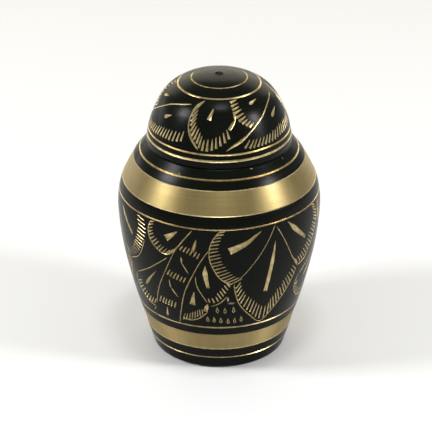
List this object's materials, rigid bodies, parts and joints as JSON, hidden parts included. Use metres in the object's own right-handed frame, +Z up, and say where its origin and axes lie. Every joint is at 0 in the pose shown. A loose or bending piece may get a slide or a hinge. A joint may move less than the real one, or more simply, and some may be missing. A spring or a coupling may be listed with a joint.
{
  "type": "cremation urn",
  "caption": "Small lidded keepsake urn: a hollow turned brass vessel with a domed lift-off lid, lacquered black and engraved with leaves.",
  "frame": {"origin": "middle of the flat underside, where the urn rests", "axes": "+Z up along the turning axis; -Y faces the viewer"},
  "size_m": [0.0522, 0.0522, 0.0762],
  "materials": {
    "lacquered_brass": "black satin lacquer over turned brass, cut through to bare brass at bands, rings and engraving"
  },
  "bodies": {
    "root": {"urn_body": "lacquered_brass", "lid": "lacquered_brass"}
  },
  "joints": []
}
